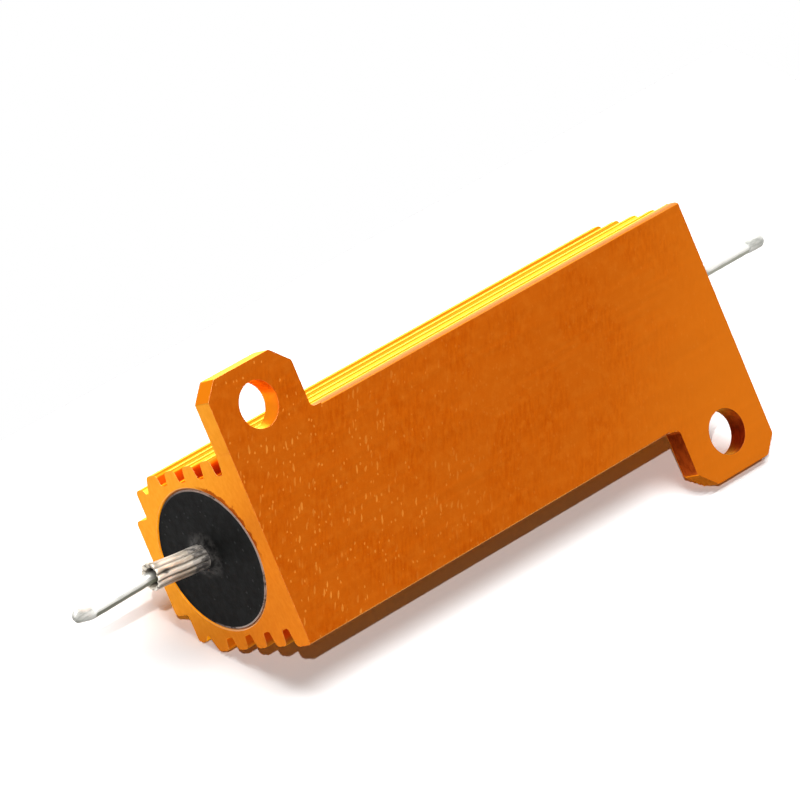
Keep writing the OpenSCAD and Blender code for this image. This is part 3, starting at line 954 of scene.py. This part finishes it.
def winding_tree():
    """One layer of round wire wound round a rod that lies along X."""
    steps_per_turn, sides = 32, 8
    tree, given, result = new_group(
        "winding", "GeometryNodeTree",
        [("Turns", FLOAT), ("Coil Radius", FLOAT), ("Coil Length", FLOAT), ("Wire Radius", FLOAT),
         ("Height", FLOAT), ("Material", MATERIAL)],
        ("Geometry", GEOMETRY))
    radius = given["Coil Radius"]
    coil = put(tree, "GeometryNodeCurveSpiral", Resolution=steps_per_turn, Rotations=given["Turns"],
               Start_Radius=radius, End_Radius=radius, Height=given["Coil Length"])
    swept = sweep(tree, coil.outputs[0], given["Wire Radius"], sides)
    lift = put(tree, "ShaderNodeCombineXYZ", X=times(tree, given["Coil Length"], -0.5), Z=given["Height"])
    laid = put(tree, "GeometryNodeTransform", Geometry=swept, Translation=lift.outputs[0],
               Rotation=(0, math.radians(90), 0))
    end_tree(tree, laid.outputs[0], given, result)
    return tree


def grow(tree, mesh, values):
    """Runs a geometry tree on a mesh with its named inputs, and returns a plain mesh."""
    holder = add_object("holder", mesh)
    modifier = holder.modifiers.new("grow", "NODES")
    modifier.node_group = tree
    for item in tree.interface.items_tree:
        if item.item_type == "SOCKET" and item.in_out == "INPUT" and item.name in values:
            modifier[item.identifier] = values[item.name]
    return bake(holder)


def lead(t, tree):
    path = t.wire_path()
    line = bpy.data.meshes.new("path")
    line.from_pydata([tuple(p) for p in path], [(i, i + 1) for i in range(len(path) - 1)], [])
    mesh = grow(tree, line, {
        "Wire Radius": WIRE_R, "Tip Length": TIP_LEN, "Tip Width": TIP_W, "Tip Thickness": TIP_T,
        "Press Axis": (0.0, 0.0, 1.0), "Dents": 0.10, "Seed": 0.3 * t.sign, "Material": TINNED})
    mesh.name = t.side + "_wire"
    shade_round(mesh, 50)
    add_piece(t.side + "_wire", mesh, TINNED, "tinned", t.side + "_lead")


def winding():
    low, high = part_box("winding")
    mesh = grow(winding_tree(), bpy.data.meshes.new("seed"), {
        "Turns": WINDING_TURNS, "Coil Radius": (high.y - low.y) / 2 - WINDING_WIRE_R,
        "Coil Length": high.x - low.x - 2 * WINDING_WIRE_R, "Wire Radius": WINDING_WIRE_R,
        "Height": BORE_Z, "Material": WOUND})
    mesh.name = "wound_wire"
    mesh.shade_smooth()
    add_piece("wound_wire", mesh, WOUND, "wire", "winding")


housing_shell()
winding()
pressed_wire = pressed_wire_tree()
for terminal in TERMINALS:
    potting_plug(terminal)
    sleeve(terminal)
    lead(terminal, pressed_wire)


# ---- floor, world and lamps ------------------------------------------------------

def staged(name, points, faces, material):
    mesh = bpy.data.meshes.new(name)
    mesh.from_pydata([tuple(p) for p in points], [], faces)
    mesh.materials.append(material)
    obj = add_object(name, mesh)
    return obj


def hide_from(obj, *rays):
    """Keeps an object out of some kinds of rays."""
    for kind in rays:
        setattr(obj, "visible_" + kind, False)


FLOOR_GLOW = (1.0, 0.985, 0.98, 1.0)


def floor_material(name, tone, lift, slope=None, painted_light_spot=None):
    """Pale floor, seen from its upper side only.

    A camera sees it a little lifted, so that it is white where lit. slope is the direction that it is shaded
    for, and painted_light_spot is a place on it that takes the lift in place of the whole, as a painted pool
    of light.
    """
    spot_edge, spot_core, spot_lift = 3.2 * MM, 2.0 * MM, 0.3
    material, tree = new_material(name)
    matte = put(tree, "ShaderNodeBsdfDiffuse", Color=(tone, tone, tone, 1.0))
    if slope:
        lies = put(tree, "ShaderNodeCombineXYZ", X=slope.x, Y=slope.y, Z=slope.z)
        feed(tree, matte.inputs["Normal"], lies.outputs[0])
    glow = put(tree, "ShaderNodeEmission", Color=FLOOR_GLOW, Strength=lift)
    if painted_light_spot:
        away = vector_math(tree, "DISTANCE", place_on_part(tree), tuple(painted_light_spot))
        # painted light: a glow on the floor around the spot seen through the far ear's hole
        spot = times(tree, ramp(tree, away, spot_edge, spot_core), spot_lift)
        feed(tree, glow.inputs["Strength"], spot)
    both = put(tree, "ShaderNodeAddShader", i0=matte.outputs[0], i1=glow.outputs[0])
    clear = put(tree, "ShaderNodeBsdfTransparent")
    eye = put(tree, "ShaderNodeLightPath").outputs["Is Camera Ray"]
    seen = put(tree, "ShaderNodeMixShader", Fac=eye, i1=matte.outputs[0], i2=both.outputs[0])
    under = put(tree, "ShaderNodeNewGeometry").outputs["Backfacing"]
    sided = put(tree, "ShaderNodeMixShader", Fac=under, i1=seen.outputs[0], i2=clear.outputs[0])
    put(tree, "ShaderNodeOutputMaterial", Surface=sided.outputs[0])
    return material


# The surface that the tipped part leans on touches its far ear's outer edge and its side fins' shoulder
LEAN_POINT = Vector((0, EAR_OUT, PLATE_T))
LEAN_UP = Vector((0, -0.850, -0.527)).normalized()
LEAN_DOWN = Vector((0, 0.527, -0.850)).normalized()
# The spot of that surface that is seen through the far ear's hole, which takes a painted pool of light
FAR_HOLE = Vector((HOLE_X, HOLE_Y, 0))
BEHIND_HOLE = FAR_HOLE - BACK * ((LEAN_POINT - FAR_HOLE).dot(LEAN_UP) / -BACK.dot(LEAN_UP))


def stepped_floor():
    """The surface the tipped part leans on, in fine level steps that are seen from below only."""
    step, reach_up, reach_down, half_width = 0.4 * MM, 45 * MM, 50 * MM, 70 * MM
    # treads half as deep again as a step, so that no gap shows between two
    half_tread = LEAN_DOWN.y * step * 0.75
    points, faces = [], []
    for k in range(round((reach_up + reach_down) / step)):
        middle = LEAN_POINT + LEAN_DOWN * (k * step - reach_up)
        first = len(points)
        points += [(side * half_width, middle.y + edge * half_tread, middle.z)
                   for side, edge in ((-1, -1), (-1, 1), (1, 1), (1, -1))]
        faces.append(tuple(range(first, first + 4)))
    material = floor_material("tipped_floor", 0.86, 0.0, slope=LEAN_UP, painted_light_spot=BEHIND_HOLE)
    floor = staged("tipped_floor", points, faces, material)
    if floor.data.polygons[0].normal.z > 0:
        floor.data.flip_normals()
    hide_from(floor, "shadow")


def flat_floor():
    """The floor under the part as it lies on its plate, for views from above."""
    half, low = 1.0, -0.02 * MM
    corners = [(x * half, y * half, low) for x, y in ((-1, -1), (1, -1), (1, 1), (-1, 1))]
    floor = staged("flat_floor", corners, [(0, 1, 2, 3)], floor_material("flat_floor", 0.93, 0.5))
    hide_from(floor, "shadow", "diffuse", "glossy", "transmission")


def make_world():
    """Even white for the camera and for shiny things, and a faint fill for the rest."""
    fill, white = 0.08, (1, 1, 1, 1)
    world = bpy.data.worlds.new("studio")
    world.use_nodes = True
    tree = world.node_tree
    tree.nodes.clear()
    ray = put(tree, "ShaderNodeLightPath").outputs
    direct = either(tree, ray["Is Camera Ray"], ray["Is Glossy Ray"], ray["Is Transmission Ray"])
    soft = put(tree, "ShaderNodeBackground", Color=white, Strength=fill)
    full = put(tree, "ShaderNodeBackground", Color=white, Strength=1.0)
    mixed = put(tree, "ShaderNodeMixShader", Fac=direct, i1=soft.outputs[0], i2=full.outputs[0])
    put(tree, "ShaderNodeOutputWorld", Surface=mixed.outputs[0])
    bpy.context.scene.world = world


def lamp(name, direction, distance, size, power, colour=(1, 1, 1)):
    """A round soft lamp that stands off in a direction and looks back at the middle of the part."""
    middle = Vector((0, 0, 7 * MM))
    data = bpy.data.lights.new(name, "AREA")
    data.shape = "DISK"
    data.size = size
    data.energy = power
    data.color = colour
    obj = add_object(name, data)
    direction = direction.normalized()
    turn = direction.to_track_quat("Z", "Y").to_matrix().to_4x4()
    obj.matrix_world = Matrix.Translation(middle + direction * distance) @ turn
    hide_from(obj, "camera")


def reflected_card(name, toward, distance, half, level, shift):
    """A card that only the shiny metal sees. It stands off in a direction, shifted along X."""
    toward = toward.normalized()
    side = toward.cross(Vector((0, 1, 0))).normalized()
    tall = toward.cross(side)
    centre = Vector((shift, 0, 0)) + toward * distance
    material, tree = new_material(name)
    grey = put(tree, "ShaderNodeEmission", Color=(level, level, level, 1.0), Strength=1.0)
    put(tree, "ShaderNodeOutputMaterial", Surface=grey.outputs[0])
    corners = [centre + (side * a + tall * b) * half for a, b in ((-1, -1), (1, -1), (1, 1), (-1, 1))]
    card = staged(name, corners, [(0, 1, 2, 3)], material)
    hide_from(card, "camera", "diffuse", "shadow", "transmission")


stepped_floor()
flat_floor()
make_world()

KEY_LIFT = math.radians(8)
KEY_FROM = BACK * math.cos(KEY_LIFT) + UP * math.sin(KEY_LIFT) - RIGHT * 0.05
lamp("key", KEY_FROM, distance=0.9, size=0.012, power=5.6, colour=(1.0, 0.93, 0.9))
lamp("overhead", LEAN_UP + RIGHT * 0.1, distance=0.5, size=0.45, power=5.0)
lamp("top", Vector((0.596, -0.157, 0.787)), distance=0.6, size=0.4, power=1.8)
lamp("behind", Vector((-0.4, 0.8, 0.5)), distance=0.6, size=0.4, power=0.15)
reflected_card("front_card", Vector((0.596, 0.157, -0.787)), distance=0.25, half=0.15, level=0.56,
               shift=-60 * MM)

scene = bpy.context.scene
scene.view_settings.view_transform = "Standard"
